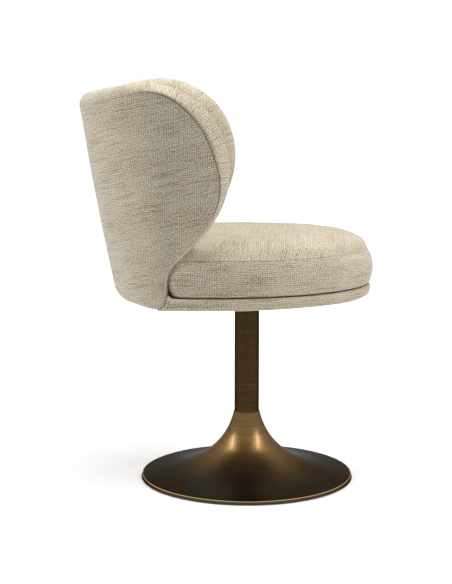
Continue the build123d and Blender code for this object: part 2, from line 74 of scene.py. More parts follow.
# ---- back ----
BACK_THICKNESS = 55.0
SIDE_END_Y = 120.0  # in front of this line the barrel's sides run straight
BACK_LOW = (SEAT_BOTTOM_Z, 238.0, 266.0)  # height, half width and rear
BACK_MID = (590.0, 247.0, 306.0)
BACK_HIGH = (830.0, 256.0, 346.5)
TIP_Y = node_box("back_inner_cover")[LOW, Y]  # the wing's foremost point
TIP_Z = 654.0
UPPER_RADIUS = 163.0
LOWER_RADIUS = 186.0
SLANT = 45.0
FOOT_Y = 146.3
FOOT_RADIUS = 60.0
FOOT_CORNER = 22.0
TOP_SLOPE = 12.4
ROLL_DEPTH = 24.0  # from the outer face to the roll's peak
ROLL_INNER = 26.0
# How far the outer seam lies inside the outline: by the angle round the wing, and below its tip by height
SEAM_UPPER = ((77.6, 12), (85, 13), (95, 15), (103, 17), (111, 19), (119, 21.5), (127, 24.5), (135, 26.5))
SEAM_WING = ((150, 27.5), (159, 28), (167, 27), (174, 24.5), (180, 21))
SEAM_LOWER = ((401, 7), (500, 7), (560, 8), (595, 10.5), (613, 13.5), (637, 17), (654, 21))
REAR_SEAM = 23.0  # along the top line and the bottom, where the seam is lost in a round edge
BOTTOM_RISE = 0.9  # the share of the roll's depth that the bottom edge keeps
FOOT_SCALE = 0.55  # the share of its size that the padded edge keeps round the foot
INNER_REACH = 44.0  # from the outline to the even inner face
FOOT_REACH = 14.3

# ---- how threads are counted ----
SIDE_RATE = 2.5  # millimetres of straight side for each degree past the turn
TURN_RATE = 3.3  # millimetres of outer face for each degree of the turn
LEVEL_RUN = 150.0


# ==== shapes ====


def smooth(value, low, high):
    """0 below low, 1 above high, and an even rise between."""
    t = np.clip((value - low) / (high - low), 0, 1)
    return t * t * (3 - 2 * t)


def on_circle(angle):
    return np.stack([np.cos(angle), np.sin(angle)], 1)


def bezier(corners, count):
    """Points along the curve with these three or four control points."""
    points = np.array(corners, float)
    t = np.linspace(0, 1, count)[:, None]
    degree = len(points) - 1
    return sum(math.comb(degree, k) * t**k * (1 - t) ** (degree - k) * p for k, p in enumerate(points))


def arc_through(start, middle, end, count):
    a, b, c = (np.array(p, float) for p in (start, middle, end))
    sides = np.array([b - a, c - a]) * 2
    centre = np.linalg.solve(sides, [b @ b - a @ a, c @ c - a @ a])
    radius = np.linalg.norm(a - centre)
    first = math.atan2(*(a - centre)[::-1])
    last = math.atan2(*(c - centre)[::-1])
    return centre + radius * on_circle(np.linspace(first, last, count))


def run_length(points, axis):
    """Distance travelled along an axis of an array of points."""
    steps = np.linalg.norm(np.diff(points, axis=axis), axis=-1)
    start = np.zeros_like(np.take(steps, [0], axis=axis))
    return np.cumsum(np.concatenate([start, steps], axis=axis), axis=axis)


def level(plan, z, side=1):
    """A row of points over a plan, on the right side of the chair or mirrored to the left."""
    return np.column_stack([plan * (side, 1), np.broadcast_to(z, len(plan))])


class Cover:
    """Strips of surface sewn edge to edge into one mesh, each with its own run of threads."""

    def __init__(self, name):
        self.name = name
        self.points = []
        self.faces = []
        self.threads = []
        self.seams = []
        self.count = 0

    def strip(self, points, threads, seam=0.0):
        """points and threads are grids; threads gives millimetres along and across the yarn."""
        rows, columns = points.shape[:2]
        index = self.count + np.arange(rows * columns).reshape(rows, columns)
        quads = np.stack([index[:-1, :-1], index[1:, :-1], index[1:, 1:], index[:-1, 1:]], -1)
        self.faces.append(quads.reshape(-1, 4))
        corners = np.stack([threads[:-1, :-1], threads[1:, :-1], threads[1:, 1:], threads[:-1, 1:]], 2)
        self.threads.append(corners.reshape(-1, 2))
        self.points.append(points.reshape(-1, 3))
        self.seams.append(np.broadcast_to(seam, (rows, columns)).reshape(-1))
        self.count += rows * columns

    def sewn(self):
        mesh = bpy.data.meshes.new(self.name)
        mesh.from_pydata((np.concatenate(self.points) * MM).tolist(), [], np.concatenate(self.faces).tolist())
        layer = mesh.uv_layers.new(name="threads")
        layer.uv.foreach_set("vector", np.concatenate(self.threads).astype(np.float32).ravel())
        seam = mesh.attributes.new("seam", "FLOAT", "POINT")
        seam.data.foreach_set("value", np.concatenate(self.seams).astype(np.float32))
        work = bmesh.new()
        work.from_mesh(mesh)
        bmesh.ops.remove_doubles(work, verts=work.verts, dist=WELD)
        bmesh.ops.dissolve_degenerate(work, edges=work.edges, dist=WELD)
        bmesh.ops.recalc_face_normals(work, faces=work.faces)
        work.to_mesh(mesh)
        work.free()
        piece = bpy.data.objects.new(self.name, mesh)
        bpy.context.scene.collection.objects.link(piece)
        return piece


def triples(mesh, kind):
    values = np.empty(len(mesh.vertices) * 3)
    mesh.vertices.foreach_get(kind, values)
    return values.reshape(-1, 3)


def places(mesh):
    return triples(mesh, "co")


def normals(mesh):
    return triples(mesh, "normal")


def put_places(mesh, values):
    mesh.vertices.foreach_set("co", values.ravel())
    mesh.update()


def swell_out(mesh, height):
    """Moves each point of a mesh out along its normal by its own height, in metres."""
    put_places(mesh, places(mesh) + normals(mesh) * height[:, None])


def seam_weights(mesh):
    values = np.empty(len(mesh.vertices))
    mesh.attributes["seam"].data.foreach_get("value", values)
    return values


def settle(piece):
    """Replaces the mesh by what its modifiers make of it."""
    held = bpy.context.evaluated_depsgraph_get()
    made = bpy.data.meshes.new_from_object(piece.evaluated_get(held))
    piece.modifiers.clear()
    piece.data = made


def subdivide(piece):
    change = piece.modifiers.new("finer", "SUBSURF")
    change.levels = 1
    change.render_levels = 1
    change.uv_smooth = "PRESERVE_BOUNDARIES"
    settle(piece)


def shade_smooth(piece):
    piece.data.polygons.foreach_set("use_smooth", [True] * len(piece.data.polygons))


UNEVEN_WAVES = ((1.0, 0.0, 0.4), (0.3, 0.8, 1.1), (-0.6, 0.5, 0.9), (0.1, -1.2, 0.5), (1.3, 0.7, -0.8))
WAVE_SHIFT = 1.7  # radians from one wave to the next, so that they don't peak together
BACK_SWELL = (0.16, 0.0009)  # wave length and height in metres
CUSHION_SWELL = (0.21, 0.0012)
RAIL_SWELL = (0.12, 0.0005)


def unevenness(mesh, swell):
    """Slow swell of hand-filled padding, up to its height in or out, in waves of about its length."""
    length, height = swell
    points = places(mesh)
    total = np.zeros(len(points))
    for k, wave in enumerate(UNEVEN_WAVES):
        total += np.sin(points @ np.array(wave) * (2 * math.pi / length) + WAVE_SHIFT * k)
    return total / len(UNEVEN_WAVES) * height


# ==== the back ====


def back_station(z):
    """The back's half width and rear at any height, on a parabola through three stations."""
    (z0, w0, r0), (z1, w1, r1), (z2, w2, r2) = BACK_LOW, BACK_MID, BACK_HIGH
    a = (z - z1) * (z - z2) / ((z0 - z1) * (z0 - z2))
    b = (z - z0) * (z - z2) / ((z1 - z0) * (z1 - z2))
    c = (z - z0) * (z - z1) / ((z2 - z0) * (z2 - z1))
    return a * w0 + b * w1 + c * w2, a * r0 + b * r1 + c * r2


def turn_reach(z, depth):
    """From the line where the straight sides end to the rear, at a depth inside the outer face."""
    return back_station(z)[1] - SIDE_END_Y - depth


def turn_at(y, z, depth):
    """How far round the barrel a point lies: degrees from the rear, and past 90 down the side."""
    share = np.clip((y - SIDE_END_Y) / turn_reach(z, depth), 0, 1)
    return np.where(y < SIDE_END_Y, 90 + (SIDE_END_Y - y) / SIDE_RATE, np.degrees(np.arccos(share)))


def barrel_point(turn, z, depth, side):
    width = back_station(z)[0] - depth
    angle = np.radians(np.minimum(turn, 90))
    x = side * width * np.sin(angle)
    y = SIDE_END_Y + turn_reach(z, depth) * np.cos(angle) - np.maximum(turn - 90, 0) * SIDE_RATE
    return np.stack([x, y, z], -1)


def thread_run(turn):
    return np.where(turn < 90, turn * TURN_RATE, 90 * TURN_RATE + (turn - 90) * SIDE_RATE)


def thread_rise(turn):
    """The yarns lie level at the rear and climb with the top line towards the wings."""
    run = thread_run(turn)
    rise = np.where(run < LEVEL_RUN, run**2 / (2 * LEVEL_RUN), run - LEVEL_RUN / 2)
    return rise * math.tan(math.radians(TOP_SLOPE))


def top_height(y, inset):
    """Height of the wing's upper outline, set in by an amount, over a place on the Y axis."""
    radius = UPPER_RADIUS - inset
    centre = TIP_Y + UPPER_RADIUS
    slope = math.radians(TOP_SLOPE)
    end_y = centre + radius * math.sin(slope)
    end_z = TIP_Z + radius * math.cos(slope)
    arc = TIP_Z + np.sqrt(np.maximum(radius**2 - (y - centre) ** 2, 0))
    return np.where(y < end_y, arc, end_z - (y - end_y) * math.tan(slope))


def outline_turn(y, reach):
    return np.degrees(np.arccos(np.clip((y - SIDE_END_Y) / reach, 0, 1)))


class UpperEdge:
    """The outline from the wing's tip over its crest and along the top line to the rear."""

    ARC_COUNT = 46
    LINE_COUNT = 34
    ROUND_FROM_Y = (130, 215)  # past these places columns follow the turn and not the Y axis
    SQUARE_TO_Y = (100, 200)  # up to these places columns are set in square to the outline
    CRISP_FROM_TURN = (60, 84)  # the seam is crisp round the wing and lost along the rear
    FITTING_ROUNDS = 3

    def __init__(self):
        angle = np.radians(np.linspace(180, 90 - TOP_SLOPE, self.ARC_COUNT))
        arc_y = TIP_Y + UPPER_RADIUS + UPPER_RADIUS * np.cos(angle)
        arc_z = TIP_Z + UPPER_RADIUS * np.sin(angle)
        arc_turn = outline_turn(arc_y, turn_reach(arc_z, BACK_THICKNESS / 2))
        line_turn = np.linspace(arc_turn[-1], 0, self.LINE_COUNT)[1:]
        line_y = SIDE_END_Y + turn_reach(arc_z[-1], BACK_THICKNESS / 2) * np.cos(np.radians(line_turn))
        line_angle = np.full(len(line_y), 90 - TOP_SLOPE)
        self.y = np.concatenate([arc_y, line_y])
        self.z = top_height(self.y, 0)
        self.z[: self.ARC_COUNT] = arc_z
        self.in_y = np.concatenate([-np.cos(angle), np.zeros(len(line_y))])
        self.in_z = np.concatenate([-np.sin(angle), -np.ones(len(line_y))])
        self.turn = np.concatenate([arc_turn, line_turn])
        self.round = smooth(self.y, *self.ROUND_FROM_Y)
        self.slide = 1 - smooth(self.y, *self.SQUARE_TO_Y)
        self.crisp = smooth(self.turn, *self.CRISP_FROM_TURN)
        seam = np.interp(np.concatenate([np.degrees(angle), line_angle]), *zip(*SEAM_UPPER, *SEAM_WING))
        self.seam = seam * self.crisp + REAR_SEAM * (1 - self.crisp)
        self.scale = np.ones(len(self.y))
        self.band = self.scale
        self.rise = ROLL_DEPTH * self.scale

    def at(self, inset, depth):
        """Turn and height of each column at an inset from the outline and a depth inside the face."""
        y = self.y + self.in_y * inset * self.slide
        z = np.where(self.slide < 1, top_height(y, inset), self.z + self.in_z * inset)
        for _ in range(self.FITTING_ROUNDS):
            turned = SIDE_END_Y + turn_reach(z, depth) * np.cos(np.radians(self.turn))
            place = (1 - self.round) * y + self.round * turned
            z = np.where(self.slide < 1, top_height(place, inset), z)
        turn = np.where(self.round < 1, turn_at(place, z, depth), self.turn)
        return turn, z


class LowerEdge:
    """The outline from the wing's tip down to its foot and along the bottom to the rear."""

    COUNTS = (22, 9, 7, 5, 6, 30)  # lower arc, slant, foot arc, upright, corner, bottom
    FREE_FROM = 0.7  # from this share of the foot's turn on, the bottom's columns follow the turn alone
    TIGHT_COLUMNS = 4  # before the foot's arc, where the edge begins to tighten
    CRISP_FROM_Z = (545, 600)

    def __init__(self):
        self.trace()
        arc, line, curl, upright, _, _ = self.COUNTS
        columns = np.arange(len(self.y))
        before_foot = arc + line
        tight = smooth(columns, before_foot - self.TIGHT_COLUMNS, before_foot + curl + upright - 1)
        self.scale = 1 - (1 - FOOT_SCALE) * tight
        self.crisp = smooth(self.z, *self.CRISP_FROM_Z)
        self.seam = np.interp(self.z, *zip(*SEAM_LOWER)) * (1 - self.round) + REAR_SEAM * self.round
        self.band = self.scale * (1 - self.round) + self.round
        self.rise = ROLL_DEPTH * (self.scale * (1 - self.round) + BOTTOM_RISE * self.round)

    def trace(self):
        """Follows the arcs and lines of the outline, with the way inward at each column."""
        slant = math.radians(SLANT)
        centre = np.array([TIP_Y + LOWER_RADIUS, TIP_Z])
        out = np.array([math.cos(slant), math.sin(slant)])
        bend = centre - out * LOWER_RADIUS
        foot_y = FOOT_Y - FOOT_RADIUS
        foot = np.array([foot_y, (bend @ out - FOOT_RADIUS - foot_y * out[0]) / out[1]])
        corner = np.array([FOOT_Y + FOOT_CORNER, SEAT_BOTTOM_Z + FOOT_CORNER])
        arc, line, curl, upright, turn, bottom = self.COUNTS
        down = on_circle(np.radians(np.linspace(180, 180 + SLANT, arc)))
        curve = on_circle(np.radians(np.linspace(SLANT, 0, curl + 1))[1:])
        round_off = on_circle(np.radians(np.linspace(180, 270, turn + 1))[1:])
        along = np.linspace(0, 1, line + 1)[1:, None]
        drop = np.linspace(foot[1], corner[1], upright + 1)[1:]
        edge = np.concatenate([
            centre + LOWER_RADIUS * down,
            bend + along * (foot + out * FOOT_RADIUS - bend),
            foot + FOOT_RADIUS * curve,
            np.stack([np.full(upright, FOOT_Y), drop], 1),
            corner + FOOT_CORNER * round_off,
        ])
        inward = np.concatenate([
            -down,
            np.tile(out, (line, 1)),
            curve,
            np.tile([1.0, 0.0], (upright, 1)),
            -round_off,
        ])
        reach = turn_reach(edge[:, 1], BACK_THICKNESS / 2)
        edge_turn = outline_turn(edge[:, 0], reach)
        under = np.linspace(edge_turn[-1], 0, bottom + 1)[1:]
        under_y = SIDE_END_Y + reach[-1] * np.cos(np.radians(under))
        foot_turn = edge_turn[-1]
        free = smooth(-under, -foot_turn, -self.FREE_FROM * foot_turn)
        self.y = np.concatenate([edge[:, 0], under_y])
        self.z = np.concatenate([edge[:, 1], np.full(bottom, SEAT_BOTTOM_Z)])
        self.in_y = np.concatenate([inward[:, 0], np.zeros(bottom)])
        self.in_z = np.concatenate([inward[:, 1], np.ones(bottom)])
        self.turn = np.concatenate([edge_turn, under])
        self.round = np.concatenate([np.zeros(len(edge)), free])

    def at(self, inset, depth):
        """Turn and height of each column at an inset from the outline and a depth inside the face."""
        y = self.y + self.in_y * inset
        z = self.z + self.in_z * inset
        turn = (1 - self.round) * turn_at(y, z, depth) + self.round * self.turn
        return turn, z


# Rows of the padded edge, from the even outer panel over the roll to the even inner face
PANEL_ROWS = (12.0, 6.5, 3.5, 1.6, 0.7, 0.0)  # millimetres inside the seam
# The roll from the seam to its peak: the share of the seam's inset left, and the share of its depth
ROLL_SHAPE = (
    (1.0, 0.0), (0.975, 0.0), (0.94, 0.0), (0.88, 0.012), (0.79, 0.055), (0.68, 0.14), (0.56, 0.26),
    (0.44, 0.39), (0.32, 0.53), (0.21, 0.67), (0.11, 0.81), (0.035, 0.93), (0.0, 1.0),
)
INNER_ROLL_ROWS = (0.0, 14.0, 28.0, 42.0, 56.0, 73.0, 90.0)  # degrees past the roll's peak
INNER_ROWS = (1.0, 1.05, 1.1)
SEAM_DEPTH = 2.0
SEAM_LEAST = 0.1
SEAM_RUN = 1.4  # the groove's width on the panel's side, in millimetres
SEAM_SHARE = 0.05  # and on the roll's side, as a share of the seam's inset
PANEL_SINK = 1.4  # the outer panel lies a little lower than the roll beside the seam
PANEL_SINK_RUN = 45.0
ROLL_SINK_SHARE = 0.2
PANEL_COUNT = 34
OUTER, INNER = 0, -1  # the first group of the edge's rows and the last
EASE_DEPTH = 4.0  # how far the outer face turns in beside the wing's lower edge
EASE_RUN = 42.0
EASE_OUTWARD = (0.1, 0.5)  # how squarely a point has to face outward to be eased
EASE_FROM_Z = (395, 480)  # the easing comes in between these heights
EASE_TO_Z = (520, 620)  # and goes out between these


def roll_rows(edge):
    """(inset, depth, seam weight) rows of the rolled edge, grouped by the panel they belong to."""
    fade = SEAM_LEAST + (1 - SEAM_LEAST) * edge.crisp
    low = PANEL_SINK * fade
    none = 0 * fade
    outer = []
    for row in PANEL_ROWS:
        near = max(0.0, 1 - row / SEAM_RUN)
        step = row * edge.band
        sink = low * (1 - smooth(step, 0, PANEL_SINK_RUN))
        outer.append((edge.seam + step, SEAM_DEPTH * near * fade + sink, near * fade))
    roll = []
    for left, bead in ROLL_SHAPE:
        near = max(0.0, 1 - (1 - left) / SEAM_SHARE)
        even = 1 - math.sqrt(1 - (1 - left) ** 2)
        fall = bead * edge.crisp + even * (1 - edge.crisp)
        sink = SEAM_DEPTH * near * fade + low * (1 - smooth(1 - left, 0, ROLL_SINK_SHARE))
        roll.append((edge.seam * left, edge.rise * fall + sink, near * fade))
    inner_roll = []
    reach = FOOT_REACH + (INNER_REACH - FOOT_REACH) * (edge.scale - FOOT_SCALE) / (1 - FOOT_SCALE)
    for degrees in INNER_ROLL_ROWS:
        angle = math.radians(degrees)
        depth = BACK_THICKNESS - ROLL_INNER * edge.scale * (1 - math.sin(angle))
        inner_roll.append((reach * (1 - math.cos(angle)), depth, none))
    inner = [(reach * row, BACK_THICKNESS + none, none) for row in INNER_ROWS]
    return outer, roll, inner_roll, inner


def edge_grid(edge, rows, side):
    turns = []
    points = []
    for inset, depth, _ in rows:
        turn, z = edge.at(inset, depth)
        turns.append(turn)
        points.append(barrel_point(turn, z, depth, side))
    return np.stack(points, 1), np.stack(turns, 1), np.stack([weight for _, _, weight in rows], 1)


def face_threads(turn, z, side):
    return np.stack([side * thread_run(turn), z - thread_rise(turn)], -1)


def roll_threads(points, start):
    across = run_length(points, 1) + start
    along = run_length(points[:, :1], 0) + 0 * across
    return np.stack([across, along], -1)


def edge_strips(cover, edge, side):
    """The padded edge along one outline: the panel beside the seam, the roll and the inner face."""
    outer, roll, inner_roll, inner = roll_rows(edge)
    points, turn, seam = edge_grid(edge, outer, side)
    cover.strip(points, face_threads(turn, points[..., Z], side), seam)
    points, _, seam = edge_grid(edge, roll, side)
    threads = roll_threads(points, 0)
    cover.strip(points, threads, seam)
    points, _, seam = edge_grid(edge, [roll[-1]] + inner_roll, side)
    cover.strip(points, roll_threads(points, threads[:, -1:, 0]), seam)
    points, turn, seam = edge_grid(edge, inner, side)
    cover.strip(points, face_threads(turn, points[..., Z], side), seam)


def even_strip(cover, upper, lower, face, base, side):
    """The outer panel or the inner face, at a depth, from the lower edge's rows to the upper edge's."""
    share = np.linspace(0, 1, PANEL_COUNT + 1)
    turns, heights, sunk = [], [], []
    for edge in (lower, upper):
        inset, depth, _ = roll_rows(edge)[face][face]
        turn, z = edge.at(inset, depth)
        turns.append(turn[:, None])
        heights.append(z[:, None])
        sunk.append((depth - base)[:, None])
    turn, z, sink = (low * (1 - share) + high * share for low, high in (turns, heights, sunk))
    away = np.minimum(share, 1 - share) * np.abs(heights[1] - heights[0])
    depth = sink * (1 - smooth(away, 0, PANEL_SINK_RUN - PANEL_ROWS[0])) + base
    cover.strip(barrel_point(turn, z, depth, side), face_threads(turn, z, side))


def ease_edge(mesh, outline):
    """Below the tip the outer seam is lost, and the padding falls away gently towards the edge."""
    where = places(mesh) / MM
    gap = np.full(len(where), np.inf)
    for y, z in outline:
        gap = np.minimum(gap, np.hypot(where[:, Y] - y, where[:, Z] - z))
    outward = np.sign(where[:, X])
    outside = smooth(normals(mesh)[:, X] * outward, *EASE_OUTWARD)
    below_tip = smooth(where[:, Z], *EASE_FROM_Z) * (1 - smooth(where[:, Z], *EASE_TO_Z))
    moved = places(mesh)
    moved[:, X] -= outward * EASE_DEPTH * (1 - smooth(gap, 0, EASE_RUN)) * below_tip * outside * MM
    put_places(mesh, moved)


def chair_back():
    upper = UpperEdge()
    lower = LowerEdge()
    cover = Cover("back_upholstery")
    for side in (1, -1):
        edge_strips(cover, upper, side)
        edge_strips(cover, lower, side)
        even_strip(cover, upper, lower, OUTER, 0.0, side)
        even_strip(cover, upper, lower, INNER, BACK_THICKNESS, side)
    piece = cover.sewn()
    wing = sum(LowerEdge.COUNTS[:-1])
    ease_edge(piece.data, np.stack([lower.y, lower.z], 1)[:wing])
    swell_out(piece.data, unevenness(piece.data, BACK_SWELL) * (1 - seam_weights(piece.data)))
    subdivide(piece)
    shade_smooth(piece)
    return piece


# ==== the seat cushion ====

SEAM_TUCK = 6.0  # the seam lies this far inside the cushion's widest line
BOXING_BULGE = 1.5
BOXING_TUCK = 2.5
CREASE_ROUND = 7.0
EAR_ROUND = 22.0  # the cushion's ears are its rear corners, in front of the wings
EAR_END_Y = FOOT_Y - 0.9
EAR_FOOT_ROUND = 7.0
NOSE_COUNT = 40
SIDE_COUNT = 8
EAR_COUNT = 9
NOTCH_COUNT = 7
TONGUE_COUNT = 20
TONGUE_START = 72.0  # how far round the back's inside the tongue begins, in degrees from the rear
NOTCH_PULL = 4.0
BACK_CLEAR = BACK_THICKNESS + 2.0
SPINE_LENGTH = 55.0
# What the crown's height gains, by the place along Y: it is fuller at the nose and lower between the wings
CROWN_TILT = ((-250, 1.0), (-120, 0.5), (60, -4.5), (150, -7.5), (290, -9.5))
CROWN_ROWS = 26
CROWN_EDGE_ROWS = (7.0, 4.0, 1.8, 0.8, 0.0)  # millimetres before the seam
BOXING_EDGE_ROWS = (0.0, 0.8, 1.8, 4.0)  # millimetres past the seam
BOXING_ROWS_FROM = 8.0
BOXING_ROWS = 16
CREASE_ROWS = 6
UNDER_ROWS = 8
CURVE_COUNT = 400  # points that rows are read from
CROWN_FLAT = 0.97
NOSE_SHOULDER = (-8.6, 31.5)  # from the seam: the crown is square at the nose
SIDE_SHOULDER = (-21.0, 28.5)  # and softer along the sides
SHOULDER_CHANGE = (40, 200)  # millimetres forward, between which one becomes the other
SEAM_PULL = (0.7, 0.3)  # how much of the seam's depth its own row and the next one take
SEAM_CUT = 0.0022  # metres
NOSE_SEAM_LOST = 0.8  # the share of the seam that is lost round the nose
NOSE_SEAM_FROM = (110, 215)
SWELL_FROM_CREASE = (6, 30)  # millimetres above the crease between which the swell comes in


def nose_curve(width, nose, count):
    """A quarter of the seat's plan, from the middle of the nose to the widest line."""
    angle = np.radians(np.linspace(-90, 0, count))
    reach = nose / SEAT_HALF_WIDTH * width
    return np.stack([width * np.cos(angle), SEAT_WIDEST_Y + reach * np.sin(angle)], 1)


def half_outline(z, inset):
    """Half of the cushion's plan at one height, from the nose round one side to the rear."""
    width = SEAT_HALF_WIDTH - inset
    nose = nose_curve(width, SEAT_NOSE, NOSE_COUNT)
    below = min(1.0, max(0.0, CREASE_Z + EAR_FOOT_ROUND - z) / EAR_FOOT_ROUND)
    ear_y = EAR_END_Y - inset - EAR_FOOT_ROUND * (1 - math.sqrt(1 - below**2))
    side_y = np.linspace(SEAT_WIDEST_Y, ear_y - EAR_ROUND, SIDE_COUNT + 1)[1:]
    side = np.stack([np.full(SIDE_COUNT, width), side_y], 1)
    curl = np.radians(np.linspace(0, 90, EAR_COUNT + 1))[1:]
    ear = (width - EAR_ROUND, ear_y - EAR_ROUND) + EAR_ROUND * on_circle(curl)
    tongue_width = back_station(z)[0] - BACK_CLEAR - inset
    reach = turn_reach(z, BACK_CLEAR + inset)
    turns = np.radians(np.linspace(TONGUE_START, 0, TONGUE_COUNT + 1))
    tongue = np.stack([tongue_width * np.sin(turns), SIDE_END_Y + reach * np.cos(turns)], 1)
    corner = (tongue[0, X] + NOTCH_PULL, ear_y)
    notch = bezier([ear[-1], corner, tongue[0]], NOTCH_COUNT + 2)[1:-1]
    return np.concatenate([nose, side, ear, notch, tongue])


def spine(outline):
    """The middle line that the crown's rings close on."""
    share = np.clip(np.arange(len(outline)) - NOSE_COUNT, 0, None) / (len(outline) - NOSE_COUNT)
    return np.stack([0 * share, SEAT_WIDEST_Y + SPINE_LENGTH * smooth(share, 0, 0.5)], 1)


def seam_pull(count):
    """Seam weights of rows that start at the seam."""
    weights = np.zeros(count)
    weights[: len(SEAM_PULL)] = SEAM_PULL
    return weights


def crown_rows(shoulder):
    """Run, radius and height of the top panel's rows, from the middle out to the seam."""
    seam = np.array([SEAT_HALF_WIDTH - SEAM_TUCK, SEAM_Z])
    top = SEAM_Z + CROWN
    crown = bezier([(0, top), (seam[0] * CROWN_FLAT, top), seam + np.array(shoulder), seam], CURVE_COUNT)
    lengths = run_length(crown, 0)
    from_seam = np.array(CROWN_EDGE_ROWS)
    even = np.linspace(0, lengths[-1] - from_seam[0], CROWN_ROWS)
    runs = np.concatenate([even, lengths[-1] - from_seam[1:]])
    return np.transpose([runs, np.interp(runs, lengths, crown[:, 0]), np.interp(runs, lengths, crown[:, 1])])


def boxing_rows():
    """Radius and height of the side band's rows, from the seam down and in under its foot."""
    seam = (SEAT_HALF_WIDTH - SEAM_TUCK, SEAM_Z)
    foot = SEAT_HALF_WIDTH - BOXING_TUCK
    low = (foot, CREASE_Z + CREASE_ROUND)
    middle = (SEAT_HALF_WIDTH + BOXING_BULGE, (low[1] + SEAM_Z) / 2)
    band = arc_through(seam, middle, low, CURVE_COUNT // 2)
    lengths = run_length(band, 0)
    runs = np.concatenate([BOXING_EDGE_ROWS, np.linspace(BOXING_ROWS_FROM, lengths[-1], BOXING_ROWS)])
    rows = np.stack([np.interp(runs, lengths, band[:, 0]), np.interp(runs, lengths, band[:, 1])], 1)
    crease = bezier([low, (foot, CREASE_Z), (foot - CREASE_ROUND, CREASE_Z)], CREASE_ROWS)
    return np.concatenate([rows, crease[1:]])


def top_strip(cover, edge, fade, side):
    """The crowned top panel; its threads run as they would on the cloth laid flat."""
    centre = spine(edge)
    spread = edge - centre
    seam_radius = SEAT_HALF_WIDTH - SEAM_TUCK
    beside = 1 - smooth(-edge[:, Y], *SHOULDER_CHANGE)
    grid = []
    flat = []
    for nose_row, side_row in zip(crown_rows(NOSE_SHOULDER), crown_rows(SIDE_SHOULDER)):
        run, radius, z = (a * (1 - beside) + b * beside for a, b in zip(nose_row, side_row))
        plan = centre + spread * (radius / seam_radius)[:, None]
        tilt = np.interp(plan[:, Y], *zip(*CROWN_TILT))
        grid.append(level(plan, SEAM_Z + (z - SEAM_Z) * (1 + tilt / CROWN), side))
        flat.append((centre + spread * (run / seam_radius)[:, None]) * (side, 1))
    cover.strip(np.stack(grid, 1), np.stack(flat, 1), seam_pull(len(grid))[::-1] * fade)


def boxing_strip(cover, fade, side):
    """Adds the side band and returns the plan of its foot, which the underside closes."""
    grid = [level(half_outline(z, SEAT_HALF_WIDTH - radius), z, side) for radius, z in boxing_rows()]
    points = np.stack(grid, 1)
    along = side * run_length(points[:, :1], 0) + 0 * points[..., Z]
    cover.strip(points, np.stack([along, points[..., Z]], -1), seam_pull(len(grid)) * fade)
    return points[:, -1, [X, Y]] * (side, 1)


def under_strip(cover, edge, rim, side):
    centre = spine(edge)
    grid = [level(centre + (rim - centre) * share, CREASE_Z, side) for share in np.linspace(1, 0, UNDER_ROWS)]
    points = np.stack(grid, 1)
    cover.strip(points, points[..., [Y, X]])


def cushion():
    cover = Cover("seat_cushion")
    edge = half_outline(SEAM_Z, SEAM_TUCK)
    fade = (1 - NOSE_SEAM_LOST * smooth(-edge[:, Y], *NOSE_SEAM_FROM))[:, None]
    for side in (1, -1):
        top_strip(cover, edge, fade, side)
        rim = boxing_strip(cover, fade, side)
        under_strip(cover, edge, rim, side)
    piece = cover.sewn()
    inflate(piece)
    above_crease = places(piece.data)[:, Z] / MM - CREASE_Z
    share = smooth(above_crease, *SWELL_FROM_CREASE) * (1 - seam_weights(piece.data))
    swell_out(piece.data, unevenness(piece.data, CUSHION_SWELL) * share)
    subdivide(piece)
    swell_out(piece.data, -SEAM_CUT * seam_weights(piece.data))
    shade_smooth(piece)
    return piece


PRESSURE = 4.0
SIM_FRAMES = 20
PUFF_LIMIT = 2.5  # how far the filling may move a point
HELD_TO_CREASE = (4, 22)  # millimetres above the crease between which the hold ends
HELD_FROM_EAR_END = (-12, 4)  # millimetres from the ears' rear between which it begins
STILL = 1e-9  # metres: a move this small counts as none


def inflate(piece):
    """Fills the cushion by a short pressure simulation, held along its seam, underside and rear."""
    mesh = piece.data
    start = places(mesh)
    held = np.clip(seam_weights(mesh), 0, 1)
    flat = 1 - smooth(start[:, Z] / MM - CREASE_Z, *HELD_TO_CREASE)
    rear = smooth(start[:, Y] / MM - EAR_END_Y, *HELD_FROM_EAR_END)
    weight = np.maximum(np.maximum(held, flat), rear)
    group = piece.vertex_groups.new(name="held")
    for k, value in enumerate(weight):
        group.add([k], float(value), "REPLACE")
    change = piece.modifiers.new("fill", "CLOTH")
    change.settings.vertex_group_mass = "held"
    change.settings.use_pressure = True
    change.settings.uniform_pressure_force = PRESSURE
    change.settings.effector_weights.gravity = 0
    change.settings.quality = 6
    change.settings.tension_stiffness = 25
    change.settings.compression_stiffness = 25
    change.settings.bending_stiffness = 3
    change.point_cache.frame_start = 1
    change.point_cache.frame_end = SIM_FRAMES
    scene = bpy.context.scene
    for number in range(1, SIM_FRAMES + 1):
        scene.frame_set(number)
    settle(piece)
    scene.frame_set(1)
    moved = places(piece.data) - start
    size = np.linalg.norm(moved, axis=1, keepdims=True)
    put_places(piece.data, start + moved * np.minimum(1, PUFF_LIMIT * MM / np.maximum(size, STILL)))
    piece.vertex_groups.clear()


# ==== the seat rail ====

